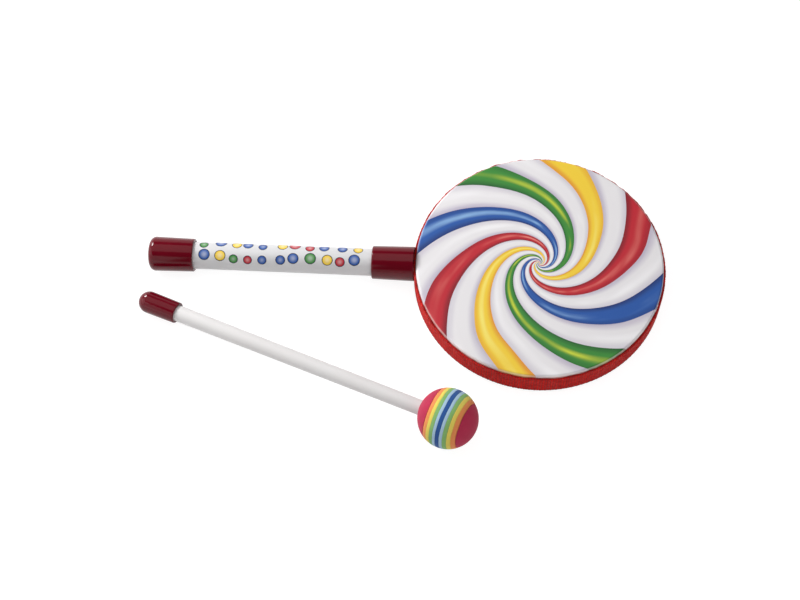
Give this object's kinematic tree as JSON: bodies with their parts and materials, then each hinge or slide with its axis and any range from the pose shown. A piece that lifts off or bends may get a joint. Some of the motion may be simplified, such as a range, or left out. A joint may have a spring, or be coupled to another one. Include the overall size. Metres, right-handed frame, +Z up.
{
  "type": "lollipop drum",
  "caption": "Shallow round hand drum with a printed film head and a webbing rim on a straight tube handle, with a foam ball mallet lying beside it.",
  "frame": {"origin": "on the table, under the middle of the box that holds the drum and the mallet as they lie", "axes": "+X runs along the handle towards the drum, +Z is up, out of the drum's playing face"},
  "size_m": [0.544, 0.3368, 0.0604],
  "materials": {
    "fibreboard": "matte",
    "printed_film": "satin",
    "red_webbing": "matte",
    "white_plastic": "satin",
    "red_vinyl": "gloss",
    "dowel_wood": "matte",
    "plated_steel": "satin",
    "foam_magenta": "matte",
    "foam_orange": "matte",
    "foam_yellow": "matte",
    "foam_green": "matte",
    "foam_sky": "matte",
    "foam_blue": "matte"
  },
  "bodies": {
    "drum": {"shell_hoop": "fibreboard", "drum_head": "printed_film", "rim_webbing": "red_webbing", "handle_tube": "white_plastic", "handle_plug": "dowel_wood", "front_cap": "red_vinyl", "rear_cap": "red_vinyl", "handle_screw_left": "plated_steel", "handle_screw_right": "plated_steel", "screw_washer_left": "plated_steel", "screw_washer_right": "plated_steel"},
    "mallet": {"mallet_stick": "white_plastic", "mallet_grip_cap": "red_vinyl", "ball_end_magenta_grip_side": "foam_magenta", "ball_sheet_orange_grip_side": "foam_orange", "ball_sheet_yellow_grip_side": "foam_yellow", "ball_sheet_green_grip_side": "foam_green", "ball_sheet_sky_grip_side": "foam_sky", "ball_sheet_blue": "foam_blue", "ball_sheet_sky_tip_side": "foam_sky", "ball_sheet_green_tip_side": "foam_green", "ball_sheet_yellow_tip_side": "foam_yellow", "ball_sheet_orange_tip_side": "foam_orange", "ball_end_magenta_tip_side": "foam_magenta"}
  },
  "joints": [
    {"name": "mallet_lift", "type": "slide", "parent": "drum", "child": "mallet", "axis": [0, 0, 1], "range_m": [0, 0.15]}
  ]
}
